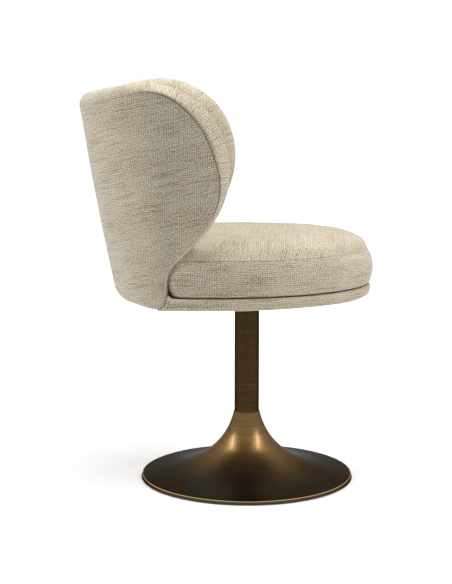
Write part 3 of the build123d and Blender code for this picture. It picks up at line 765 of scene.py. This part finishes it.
RAIL_NOSE = 321.0
RAIL_INNER = node_box("seat_board")[HIGH, X] + 0.5
RAIL_FLANGE = node_box("dust_cover")[HIGH, X] + 1.2
RAIL_ROUND = 12.0
RAIL_TOP_ROUND = 5.0
RAIL_NOSE_COUNT = 44
RAIL_SIDE_COUNT = 18
RAIL_SIDE_PACK = 1.6  # above 1 the rows lie closer towards the rail's rear end
RAIL_FACE_SWELL = (0.5, 0.8, 0.8, 0.5)
RAIL_BOARD_GAP = 0.4
RAIL_END_GAP = 0.6
FLANGE_ROUND = 2.0
UNDERSIDE_FLAT = (8.0, 5.0)  # its distance from the flange's edge and from the round outside it
RAIL_END_RISE = 6.5  # the rail's fabric is drawn up into the notch below the cushion's ear
RISE_BEFORE_FOOT = 10.0
RISE_BELOW_TOP = 12.0
RAIL_THREAD_COLUMN = 20  # threads are counted along this column


def rail_section():
    """Radius and height round the rail: from the flange under the board, outward and over the top."""
    bottom = SEAT_BOTTOM_Z
    width = SEAT_HALF_WIDTH
    board = BOARD_BOTTOM_Z - RAIL_BOARD_GAP
    past, short = UNDERSIDE_FLAT
    low = bezier([(width - RAIL_ROUND, bottom), (width, bottom), (width, bottom + RAIL_ROUND)], 9)
    shoulder = (width, RAIL_TOP_Z - RAIL_TOP_ROUND)
    high = bezier([shoulder, (width, RAIL_TOP_Z), (width - RAIL_TOP_ROUND, RAIL_TOP_Z)], 6)
    face = np.linspace(low[-1], high[0], len(RAIL_FACE_SWELL) + 2)[1:-1]
    face[:, 0] += RAIL_FACE_SWELL
    return np.concatenate([
        [(RAIL_FLANGE, board), (RAIL_FLANGE, bottom + FLANGE_ROUND), (RAIL_FLANGE + FLANGE_ROUND, bottom)],
        np.linspace((RAIL_FLANGE + past, bottom), (width - RAIL_ROUND - short, bottom), 5),
        low,
        face,
        high,
        [(RAIL_INNER + 1, RAIL_TOP_Z), (RAIL_INNER, RAIL_TOP_Z - 1), (RAIL_INNER, board)],
        [(RAIL_FLANGE, board)],
    ])


def rail_end(z):
    """The rail runs up to the wing's foot and laps under its rounded corner."""
    below = max(0.0, SEAT_BOTTOM_Z + FOOT_CORNER - z)
    return FOOT_Y - RAIL_END_GAP + FOOT_CORNER - math.sqrt(FOOT_CORNER**2 - below**2)


def rail_row(radius, z, side):
    share = 1 - np.linspace(1, 0, RAIL_SIDE_COUNT + 1)[1:] ** RAIL_SIDE_PACK
    straight_y = SEAT_WIDEST_Y + (rail_end(z) - SEAT_WIDEST_Y) * share
    straight = np.stack([np.full(len(share), radius), straight_y], 1)
    plan = np.concatenate([nose_curve(radius, RAIL_NOSE, RAIL_NOSE_COUNT), straight])
    near_end = smooth(plan[:, Y], FOOT_Y - RISE_BEFORE_FOOT, FOOT_Y)
    drawn_up = RAIL_END_RISE * near_end * smooth(z, RAIL_TOP_Z - RISE_BELOW_TOP, RAIL_TOP_Z)
    return level(plan, z + drawn_up, side)


def rail():
    cover = Cover("seat_rail")
    section = rail_section()
    lengths = run_length(section, 0)
    for side in (1, -1):
        points = np.stack([rail_row(radius, z, side) for radius, z in section], 1)
        column = points[:, RAIL_THREAD_COLUMN : RAIL_THREAD_COLUMN + 1]
        along = side * run_length(column, 0) + 0 * points[..., Z]
        cover.strip(points, np.stack([along, lengths + 0 * points[..., Z]], -1))
        end = points[-1]
        cap = np.stack([end, np.broadcast_to(end.mean(0), end.shape)], 0)
        cover.strip(cap, cap[..., [X, Z]])
    piece = cover.sewn()
    swell_out(piece.data, unevenness(piece.data, RAIL_SWELL))
    subdivide(piece)
    shade_smooth(piece)
    return piece


# ==== lining under the seat ====

LINING_Z = BOARD_BOTTOM_Z - 0.8
LINING_HALF_WIDTH = node_box("dust_cover")[HIGH, X]
LINING_THICKNESS = 0.6
LINING_SAG = 1.8
LINING_RIPPLE = 0.35  # share of the sag
RIPPLE_STEP = 2.4  # radians of ripple from one column to the next
LINING_RINGS = 9
LINING_NOSE_COUNT = 40
LINING_REAR_COUNT = 24
LINING_BACK_GAP = 1.0
PLATE_HALF = node_box("seat_plate")[HIGH, X]
PLATE_GAP = 0.6
PLATE_VIEW = (0, 40)  # the directions of the outline's points are taken from here
PLATE_CORNER_CUT = 0.06
PLATE_CORNER_FROM = 55.0


def plate_point(point):
    """The spot on the rounded square round the seat plate that faces a point of the outline."""
    direction = point - PLATE_VIEW
    direction = direction / np.linalg.norm(direction)
    spot = direction * ((PLATE_HALF + PLATE_GAP) / max(abs(direction)))
    return spot * (1 - PLATE_CORNER_CUT * smooth(np.min(np.abs(spot)), PLATE_CORNER_FROM, PLATE_HALF))


def lining_outline():
    rear_width = back_station(LINING_Z)[0] - BACK_THICKNESS - LINING_BACK_GAP
    reach = turn_reach(LINING_Z, BACK_THICKNESS + LINING_BACK_GAP)
    turn = np.radians(np.linspace(90, 0, LINING_REAR_COUNT))
    rear_x = min(LINING_HALF_WIDTH, rear_width) * np.sin(turn)
    rear = np.stack([rear_x, SIDE_END_Y + reach * np.cos(turn)], 1)
    right = np.concatenate([nose_curve(LINING_HALF_WIDTH, SEAT_NOSE, LINING_NOSE_COUNT), rear])
    return np.concatenate([right, (right * (-1, 1))[::-1][1:-1]])


def area_within(outline):
    ahead = np.roll(outline, -1, axis=0)
    return abs(np.sum(outline[:, X] * ahead[:, Y] - ahead[:, X] * outline[:, Y])) / 2


def lining():
    """The stapled lining, with the size and area of the flat cloth in metres."""
    outline = lining_outline()
    hole = np.array([plate_point(point) for point in outline])
    ripple = 1 + LINING_RIPPLE * np.sin(np.arange(len(outline)) * RIPPLE_STEP)
    grid = []
    for share in np.linspace(0, 1, LINING_RINGS):
        sag = math.sin(math.pi * share) * LINING_SAG
        grid.append(level(outline + (hole - outline) * share, LINING_Z - sag * ripple))
    points = np.stack(grid, 1)
    points = np.concatenate([points, points[:1]])
    cover = Cover("seat_lining")
    cover.strip(points, points[..., [X, Y]])
    piece = cover.sewn()
    change = piece.modifiers.new("thick", "SOLIDIFY")
    change.thickness = LINING_THICKNESS * MM
    change.offset = 0
    settle(piece)
    shade_smooth(piece)
    area = area_within(outline) - area_within(hole)
    return piece, np.ptp(outline, axis=0) * MM, float(area) * MM * MM


back = chair_back()
seat_cushion = cushion()
seat_rail = rail()
seat_lining, lining_span, lining_area = lining()

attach(back, "seat")
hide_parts("back_foam", "back_wadding", "back_inner_cover", "back_outer_panel")

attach(seat_cushion, "seat")
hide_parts("cushion_foam", "cushion_top_panel", "cushion_boxing", "cushion_lining")

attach(seat_rail, "seat")
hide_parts("rail_foam", "rail_cover")

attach(seat_lining, "seat")
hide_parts("dust_cover")


# ==== finishes ====


class Flow:
    """A number or colour on its way between shader nodes; sums on it become nodes."""

    def __init__(self, graph, socket):
        self.graph = graph
        self.socket = socket

    def through(self, operation, *others):
        return self.graph.add("ShaderNodeMath", {"operation": operation}, dict(enumerate((self, *others))))

    def __add__(self, other):
        return self.through("ADD", other)

    def __sub__(self, other):
        return self.through("SUBTRACT", other)

    def __mul__(self, other):
        return self.through("MULTIPLY", other)

    def __truediv__(self, other):
        return self.through("DIVIDE", other)

    def __pow__(self, other):
        return self.through("POWER", other)

    def __rsub__(self, other):
        return self.graph.add("ShaderNodeMath", {"operation": "SUBTRACT"}, {0: other, 1: self})

    __radd__ = __add__
    __rmul__ = __mul__


class Graph:
    """The shader nodes of a material or of the world."""

    def __init__(self, owner):
        owner.use_nodes = True
        self.owner = owner
        self.tree = owner.node_tree
        self.tree.nodes.clear()

    def add(self, kind, settings=None, inputs=None, output=0):
        """Makes a node of a kind. settings come first, then the values or links of its sockets.
        output is the socket that is handed on, or a tuple of them, or None at the end of a chain."""
        node = self.tree.nodes.new(kind)
        for key, value in (settings or {}).items():
            setattr(node, key, value)
        for key, value in (inputs or {}).items():
            if isinstance(value, Flow):
                self.tree.links.new(value.socket, node.inputs[key])
            else:
                node.inputs[key].default_value = value
        if output is None:
            return None
        if isinstance(output, tuple):
            return [Flow(self, node.outputs[key]) for key in output]
        return Flow(self, node.outputs[output])


class Finish(Graph):
    """A material under construction."""

    def __init__(self, name):
        super().__init__(bpy.data.materials.new(name))

    def place(self):
        return self.add("ShaderNodeTexCoord", output="Object")

    def threads(self):
        return self.add("ShaderNodeUVMap", {"uv_map": "threads"})

    def parts(self, vector):
        return self.add("ShaderNodeSeparateXYZ", None, {0: vector}, output=(0, 1, 2))

    def vector(self, x, y, z=0.0):
        return self.add("ShaderNodeCombineXYZ", None, {0: x, 1: y, 2: z})

    def noise(self, vector, detail=2.0, roughness=0.5, scale=1.0):
        values = {"Vector": vector, "Scale": scale, "Detail": detail, "Roughness": roughness}
        return self.add("ShaderNodeTexNoise", None, values)

    def patches(self, along, across, size, shift=0.0, **noise):
        """Noise in patches of a length and breadth; shift keeps it apart from the other noises."""
        length, breadth = size
        return self.noise(self.vector(along / length, across / breadth, shift), **noise)

    def span(self, value, low, high, to_low=0.0, to_high=1.0):
        """Maps a range onto another, smoothly and with no overshoot."""
        ends = {"Value": value, 1: low, 2: high, 3: to_low, 4: to_high}
        return self.add("ShaderNodeMapRange", {"interpolation_type": "SMOOTHSTEP"}, ends)

    def fall(self, value, low, high):
        """1 below low and 0 above high."""
        return self.span(value, low, high, 1.0, 0.0)

    def blend(self, share, first, second):
        """Mixes two colours. They go by number, as the node's other sockets share their names."""
        values = {"Factor": share, 6: first, 7: second}
        return self.add("ShaderNodeMix", {"data_type": "RGBA"}, values, output=2)

    def bump(self, height, distance, strength):
        values = {"Height": height, "Distance": distance, "Strength": strength}
        return self.add("ShaderNodeBump", None, values)

    def surface(self, **sockets):
        names = {key.replace("_", " "): value for key, value in sockets.items()}
        shader = self.add("ShaderNodeBsdfPrincipled", None, names)
        self.add("ShaderNodeOutputMaterial", None, {"Surface": shader}, output=None)
        return self.owner


def rgb(red, green, blue):
    return (red, green, blue, 1.0)


WEAVE_PITCH = 4.1
YARN_PALE = rgb(0.86, 0.80, 0.665)
YARN_LIGHT = rgb(0.65, 0.575, 0.42)
YARN_MID = rgb(0.43, 0.35, 0.222)
YARN_DARK = rgb(0.215, 0.14, 0.07)
YARN_DEEP = rgb(0.105, 0.072, 0.036)
# painted shade for the seams' grooves
SEAM_SHADE = rgb(0.08, 0.055, 0.032)
# Length and breadth of the weave's irregularities, in millimetres along and across the yarn
WANDER_SIZE = (45, 45)
SLUB_SIZE = (24, 3.6)
STREAK_SIZE = (75, 4.8)
FLECK_SIZE = (3.0, 2.2)
BROAD_SIZE = (90, 50)
FUZZ_SIZE = (0.8, 0.8)
WANDER_WIDTH = 9  # how far a yarn strays sideways
PICK_WANDER = 6  # radians
STITCH_SCALE = 240


def chenille():
    """Thick oatmeal yarn in an open weave, with flecks and long slubs along the run of the threads."""
    finish = Finish("oatmeal_chenille")
    along, across, _ = finish.parts(finish.threads())
    wander = finish.patches(along, across, WANDER_SIZE)
    lay = across + (wander - 0.5) * WANDER_WIDTH
    slub = finish.patches(along, lay, SLUB_SIZE, detail=3, roughness=0.6)
    streak = finish.patches(along, lay, STREAK_SIZE, 3.0)
    fleck = finish.patches(along, lay, FLECK_SIZE, 7.0, detail=3, roughness=0.8)
    broad = finish.patches(along, across, BROAD_SIZE, 11.0)
    fuzz = finish.patches(along, across, FUZZ_SIZE, 5.0)
    turn = 2 * math.pi / WEAVE_PITCH
    rib = (lay * turn).through("SINE") * 0.5 + 0.5
    pick = (along * turn + wander * PICK_WANDER).through("SINE") * 0.5 + 0.5
    hole = (1 - rib) * (1 - pick)
    knot = rib * pick
    base = finish.blend(finish.span(slub, 0.34, 0.66) * 0.6 + 0.2, YARN_MID, YARN_LIGHT)
    layers = (
        (finish.fall(streak, 0.36, 0.47) * 0.72, YARN_DARK),
        (finish.fall(slub, 0.31, 0.43) * 0.6, YARN_DARK),
        (finish.span(fleck, 0.50, 0.61), YARN_PALE),
        (finish.fall(fleck, 0.38, 0.49) * 0.95, YARN_DARK),
        (knot * 0.42, YARN_PALE),
        (finish.span(hole, 0.3, 1.0) * 0.66, YARN_DEEP),
        (finish.span(broad, 0.35, 0.65) * 0.15, YARN_PALE),
    )
    for share, yarn in layers:
        base = finish.blend(share, base, yarn)
    # painted shade along the sewn seams, strongest where their groove is cut, broken into stitch-like dashes
    seam = finish.add("ShaderNodeAttribute", {"attribute_name": "seam"}, output="Fac")
    stitch = finish.span(finish.noise(finish.place(), scale=STITCH_SCALE), 0.38, 0.6, 0.3, 0.85)
    base = finish.blend(seam * stitch, base, SEAM_SHADE)
    height = knot * 0.5 - hole * 0.3 + slub * 0.35 + fleck * 0.9 + fuzz * 0.2
    return finish.surface(
        Base_Color=base,
        Roughness=finish.span(slub, 0.2, 0.8, 0.95, 0.84),
        Normal=finish.bump(height, 0.001, 0.2),
        Specular_IOR_Level=0.2,
        Sheen_Weight=0.5,
        Sheen_Roughness=0.4,
        Sheen_Tint=rgb(1.0, 0.99, 0.97),
    )


# Places on the pedestal, in metres
COVER_TOP = node_box("trumpet_cover")[HIGH, Z] * MM
COVER_RIM = node_box("trumpet_cover")[HIGH, X] * MM
COVER_TOP_EDGE = 0.0002
GOLDEN_RADIUS = (0.055, 0.165)  # the cover is golden round the column and dark towards the rim
COAT_RADIUS = (0.03, 0.125)
RIM_HIGHLIGHT_FROM_RIM = ((0.0041, 0.0031), (0.0022, 0.0016))  # inside the rim: the painted highlight's inner and outer fade
# heights of the rim's top, where its painted highlight lies
RIM_HIGHLIGHT_Z = (0.0066, 0.0073)
BRUSH_ROUND = 0.07  # how slowly a brushed line changes on its way round
FINE_LINES = 900  # along a metre of the profile
BROAD_LINES = 120
CLOUD_SCALE = 9
DISC_DARK = rgb(0.066, 0.050, 0.040)
DISC_GREY = rgb(0.066, 0.062, 0.055)
FLARE_GOLD = rgb(0.165, 0.096, 0.034)
COLUMN_BROWN = rgb(0.042, 0.026, 0.011)
BAND_BROWN = rgb(0.03, 0.02, 0.011)
LINE_PALE = rgb(0.22, 0.14, 0.055)
LINE_DARK = rgb(0.02, 0.014, 0.008)
RIM_HIGHLIGHT_GOLD = rgb(0.70, 0.42, 0.17)


def bronze():
    """Dark bronzed steel, brushed round the axis, with a painted golden highlight along the rim."""
    finish = Finish("brushed_bronze")
    x, y, z = finish.parts(finish.place())
    radius = (x * x + y * y) ** 0.5
    east = x / radius * BRUSH_ROUND
    north = y / radius * BRUSH_ROUND
    profile = radius - z
    fine = finish.noise(finish.vector(east, north, profile * FINE_LINES), detail=4, roughness=0.7)
    band = finish.noise(finish.vector(east, north, profile * BROAD_LINES))
    cloud = finish.noise(finish.place(), detail=3, scale=CLOUD_SCALE)
    cover = finish.fall(z, COVER_TOP - COVER_TOP_EDGE, COVER_TOP + COVER_TOP_EDGE)
    golden = finish.fall(radius, *GOLDEN_RADIUS) * cover
    disc = finish.blend(finish.span(cloud, 0.35, 0.65), DISC_DARK, DISC_GREY)
    tone = finish.blend(cover, COLUMN_BROWN, finish.blend(golden, disc, FLARE_GOLD))
    tone = finish.blend(finish.span(band, 0.3, 0.7, 0.28, 0.0), tone, BAND_BROWN)
    rubbed = golden * 0.3 + (1 - cover) * 0.35 + 0.08
    tone = finish.blend(finish.span(fine, 0.46, 0.68) * rubbed, tone, LINE_PALE)
    tone = finish.blend(finish.fall(fine, 0.3, 0.46) * rubbed * 1.4, tone, LINE_DARK)
    # a thin golden highlight painted into the colour along the top of the rim
    rises, falls = ([COVER_RIM - inside for inside in ends] for ends in RIM_HIGHLIGHT_FROM_RIM)
    ring = finish.span(radius, *rises) * finish.span(z, *RIM_HIGHLIGHT_Z) * finish.fall(radius, *falls)
    tone = finish.blend(ring, tone, RIM_HIGHLIGHT_GOLD)
    return finish.surface(
        Base_Color=tone,
        Metallic=1.0,
        Roughness=finish.span(fine, 0.3, 0.7, 0.28, 0.36) - ring * 0.1,
        Normal=finish.bump(fine * 0.6 + band * 0.4, 0.00004, 0.4),
        Anisotropic=0.6,
        Specular_Tint=rgb(0.33, 0.34, 0.34),
        Coat_Weight=finish.span(radius, *COAT_RADIUS, 0.25, 0.0) * cover,
        Coat_Roughness=0.15,
        Coat_IOR=1.4,
    )


def plain_metal(name, tone, roughness, grain):
    finish = Finish(name)
    place = finish.place()
    speckle = finish.noise(place, detail=4, scale=grain)
    smear = finish.noise(place, scale=grain / 9)
    light = [min(1.0, c * 1.25) for c in tone]
    base = finish.blend(finish.span(smear, 0.35, 0.65), rgb(*tone), rgb(*light))
    return finish.surface(
        Base_Color=base,
        Metallic=1.0,
        Roughness=finish.span(speckle, 0.3, 0.7, roughness - 0.06, roughness + 0.08),
        Normal=finish.bump(speckle, 0.00015, 0.4),
    )


def plain_matter(name, tone, roughness, grain, depth):
    finish = Finish(name)
    speckle = finish.noise(finish.place(), detail=5, scale=grain)
    deep = [c * 0.72 for c in tone]
    base = finish.blend(finish.span(speckle, 0.3, 0.7), rgb(*deep), rgb(*tone))
    return finish.surface(Base_Color=base, Roughness=roughness, Normal=finish.bump(speckle, depth, 0.6))


PLY_PAIR = 0.0029  # thickness of a pale and a dark ply together
GRAIN_SCALES = (120, 7, 60)
BIRCH_DARK = rgb(0.52, 0.36, 0.20)
BIRCH_PALE = rgb(0.70, 0.53, 0.34)
BIRCH_GLUE = rgb(0.40, 0.26, 0.14)


def plywood():
    finish = Finish("birch_plywood")
    x, y, z = finish.parts(finish.place())
    stretched = finish.vector(*(axis * scale for axis, scale in zip((x, y, z), GRAIN_SCALES)))
    grain = finish.noise(stretched, detail=4, roughness=0.6)
    ply = (z * (2 * math.pi / PLY_PAIR)).through("SINE") * 0.5 + 0.5
    base = finish.blend(finish.span(grain, 0.3, 0.7), BIRCH_DARK, BIRCH_PALE)
    base = finish.blend(ply * 0.3, base, BIRCH_GLUE)
    return finish.surface(Base_Color=base, Roughness=0.6, Normal=finish.bump(grain, 0.0002, 0.5))


LINING_PITCH = 1.1
FLUFF_SIZE = (6, 6)
LINING_BLACK = rgb(0.022, 0.021, 0.020)
LINING_FLUFF = rgb(0.045, 0.043, 0.041)


def lining_cloth():
    finish = Finish("black_lining")
    along, across, _ = finish.parts(finish.threads())
    turn = 2 * math.pi / LINING_PITCH
    weave = (along * turn).through("SINE") * (across * turn).through("SINE") * 0.5 + 0.5
    fluff = finish.patches(along, across, FLUFF_SIZE, detail=4)
    base = finish.blend(finish.span(fluff, 0.3, 0.7), LINING_BLACK, LINING_FLUFF)
    return finish.surface(Base_Color=base, Roughness=0.92, Normal=finish.bump(weave + fluff, 0.0004, 0.6))


def dress(piece, material):
    piece.data.materials.clear()
    piece.data.materials.append(material)


fabric = chenille()
for piece in (back, seat_cushion, seat_rail):
    dress(piece, fabric)
dress(seat_lining, lining_cloth())

node_finishes = {
    "bronzed_steel": bronze(),
    "plain_steel": plain_metal("zinc_steel", (0.46, 0.46, 0.45), 0.38, 400),
    "cast_iron": plain_metal("cast_iron", (0.10, 0.10, 0.10), 0.62, 260),
    "nylon": plain_matter("natural_nylon", (0.80, 0.77, 0.70), 0.45, 300, 0.00005),
    "plywood": plywood(),
    "floor_pad": plain_matter("black_pad", (0.035, 0.035, 0.035), 0.85, 500, 0.0003),
    "foam": plain_matter("cream_foam", (0.82, 0.76, 0.58), 0.9, 700, 0.0004),
    "lining": plain_matter("inner_lining", (0.04, 0.04, 0.04), 0.9, 600, 0.0002),
    "wadding": plain_matter("white_wadding", (0.85, 0.85, 0.82), 0.95, 350, 0.0006),
    "chenille": fabric,
}
slots = {part["node"]: part["material_slot"] for part in frame["record"]["subparts"]}
for name, node in frame["nodes"].items():
    for holder in node.material_slots:
        holder.material = node_finishes[slots[name]]


# ==== studio ====

CAMERA_SPOT = (-3.0375, -0.053, 0.868)
CAMERA_PITCH = 9.0
CAMERA_YAW = 1.81
FOCAL = 92.47
FILM = 36.0


def set_camera():
    optics = bpy.data.cameras.new("camera")
    optics.lens = FOCAL
    optics.sensor_fit = "VERTICAL"
    optics.sensor_height = FILM
    camera = bpy.data.objects.new("camera", optics)
    bpy.context.scene.collection.objects.link(camera)
    pitch = math.radians(CAMERA_PITCH)
    yaw = math.radians(CAMERA_YAW)
    ahead = Vector((math.cos(yaw) * math.cos(pitch), math.sin(yaw) * math.cos(pitch), -math.sin(pitch)))
    across = ahead.cross(Vector((0, 0, 1))).normalized()
    upward = across.cross(ahead)
    turned = Matrix((across, upward, -ahead)).transposed()
    camera.matrix_world = Matrix.Translation(CAMERA_SPOT) @ turned.to_4x4()
    bpy.context.scene.camera = camera


def softbox(name, spot, target_z, width, height, power):
    """A rectangular light that looks at a height on the swivel axis."""
    lamp = bpy.data.lights.new(name, "AREA")
    lamp.shape = "RECTANGLE"
    lamp.size = width
    lamp.size_y = height
    lamp.energy = power
    holder = bpy.data.objects.new(name, lamp)
    bpy.context.scene.collection.objects.link(holder)
    holder.location = spot
    facing = Vector((0, 0, target_z)) - Vector(spot)
    holder.rotation_euler = facing.to_track_quat("-Z", "Y").to_euler()


WHITE = rgb(1.0, 1.0, 1.0)
SKY_LIGHT = 0.125


def set_sky():
    """White where the camera or a reflection sees it, and a faint light on everything else."""
    world = bpy.data.worlds.new("studio")
    bpy.context.scene.world = world
    sky = Graph(world)
    rays = ("Is Camera Ray", "Is Transmission Ray", "Is Glossy Ray")
    camera_ray, through_ray, glossy_ray = sky.add("ShaderNodeLightPath", output=rays)
    seen = camera_ray.through("MAXIMUM", through_ray).through("MAXIMUM", glossy_ray)
    faint = sky.add("ShaderNodeBackground", None, {"Color": WHITE, "Strength": SKY_LIGHT})
    white = sky.add("ShaderNodeBackground", None, {"Color": WHITE, "Strength": 1.0})
    choice = sky.add("ShaderNodeMixShader", None, {0: seen, 1: faint, 2: white})
    sky.add("ShaderNodeOutputWorld", None, {"Surface": choice}, output=None)


FLOOR_SIZE = 60
FLOOR_Z = -0.0004
FLOOR_GRAIN = 30
GLOW_RADIUS = (0.5, 2.2)  # between these the floor fades into the white of the sky
GLOW_LEAST = 0.30


def floor_look():
    finish = Finish("pale_floor")
    spot = finish.place()
    east, north, _ = finish.parts(spot)
    away = (east * east + north * north) ** 0.5
    speckle = finish.noise(spot, scale=FLOOR_GRAIN)
    glow = finish.span(away, *GLOW_RADIUS, GLOW_LEAST, 1.0)
    camera_ray = finish.add("ShaderNodeLightPath", output="Is Camera Ray")
    return finish.surface(
        Base_Color=finish.blend(speckle * 0.02, rgb(0.93, 0.93, 0.93), rgb(0.9, 0.9, 0.9)),
        Roughness=0.9,
        Specular_IOR_Level=0.0,
        Emission_Color=finish.blend(camera_ray * glow, rgb(0, 0, 0), WHITE),
        Emission_Strength=1.0,
    )


set_camera()
softbox("overhead", (0.1, -0.2, 3.2), 0.4, 1.8, 1.8, 46)
softbox("nose_side", (-0.9, -2.15, 2.75), 0.35, 0.32, 1.9, 60)
softbox("rear_side", (-0.35, 2.3, 2.75), 0.35, 0.32, 1.9, 62)
set_sky()

bpy.ops.mesh.primitive_plane_add(size=FLOOR_SIZE, location=(0, 0, FLOOR_Z))
floor = bpy.context.object
floor.name = "studio_floor"
dress(floor, floor_look())

bpy.context.scene.view_settings.view_transform = "Standard"
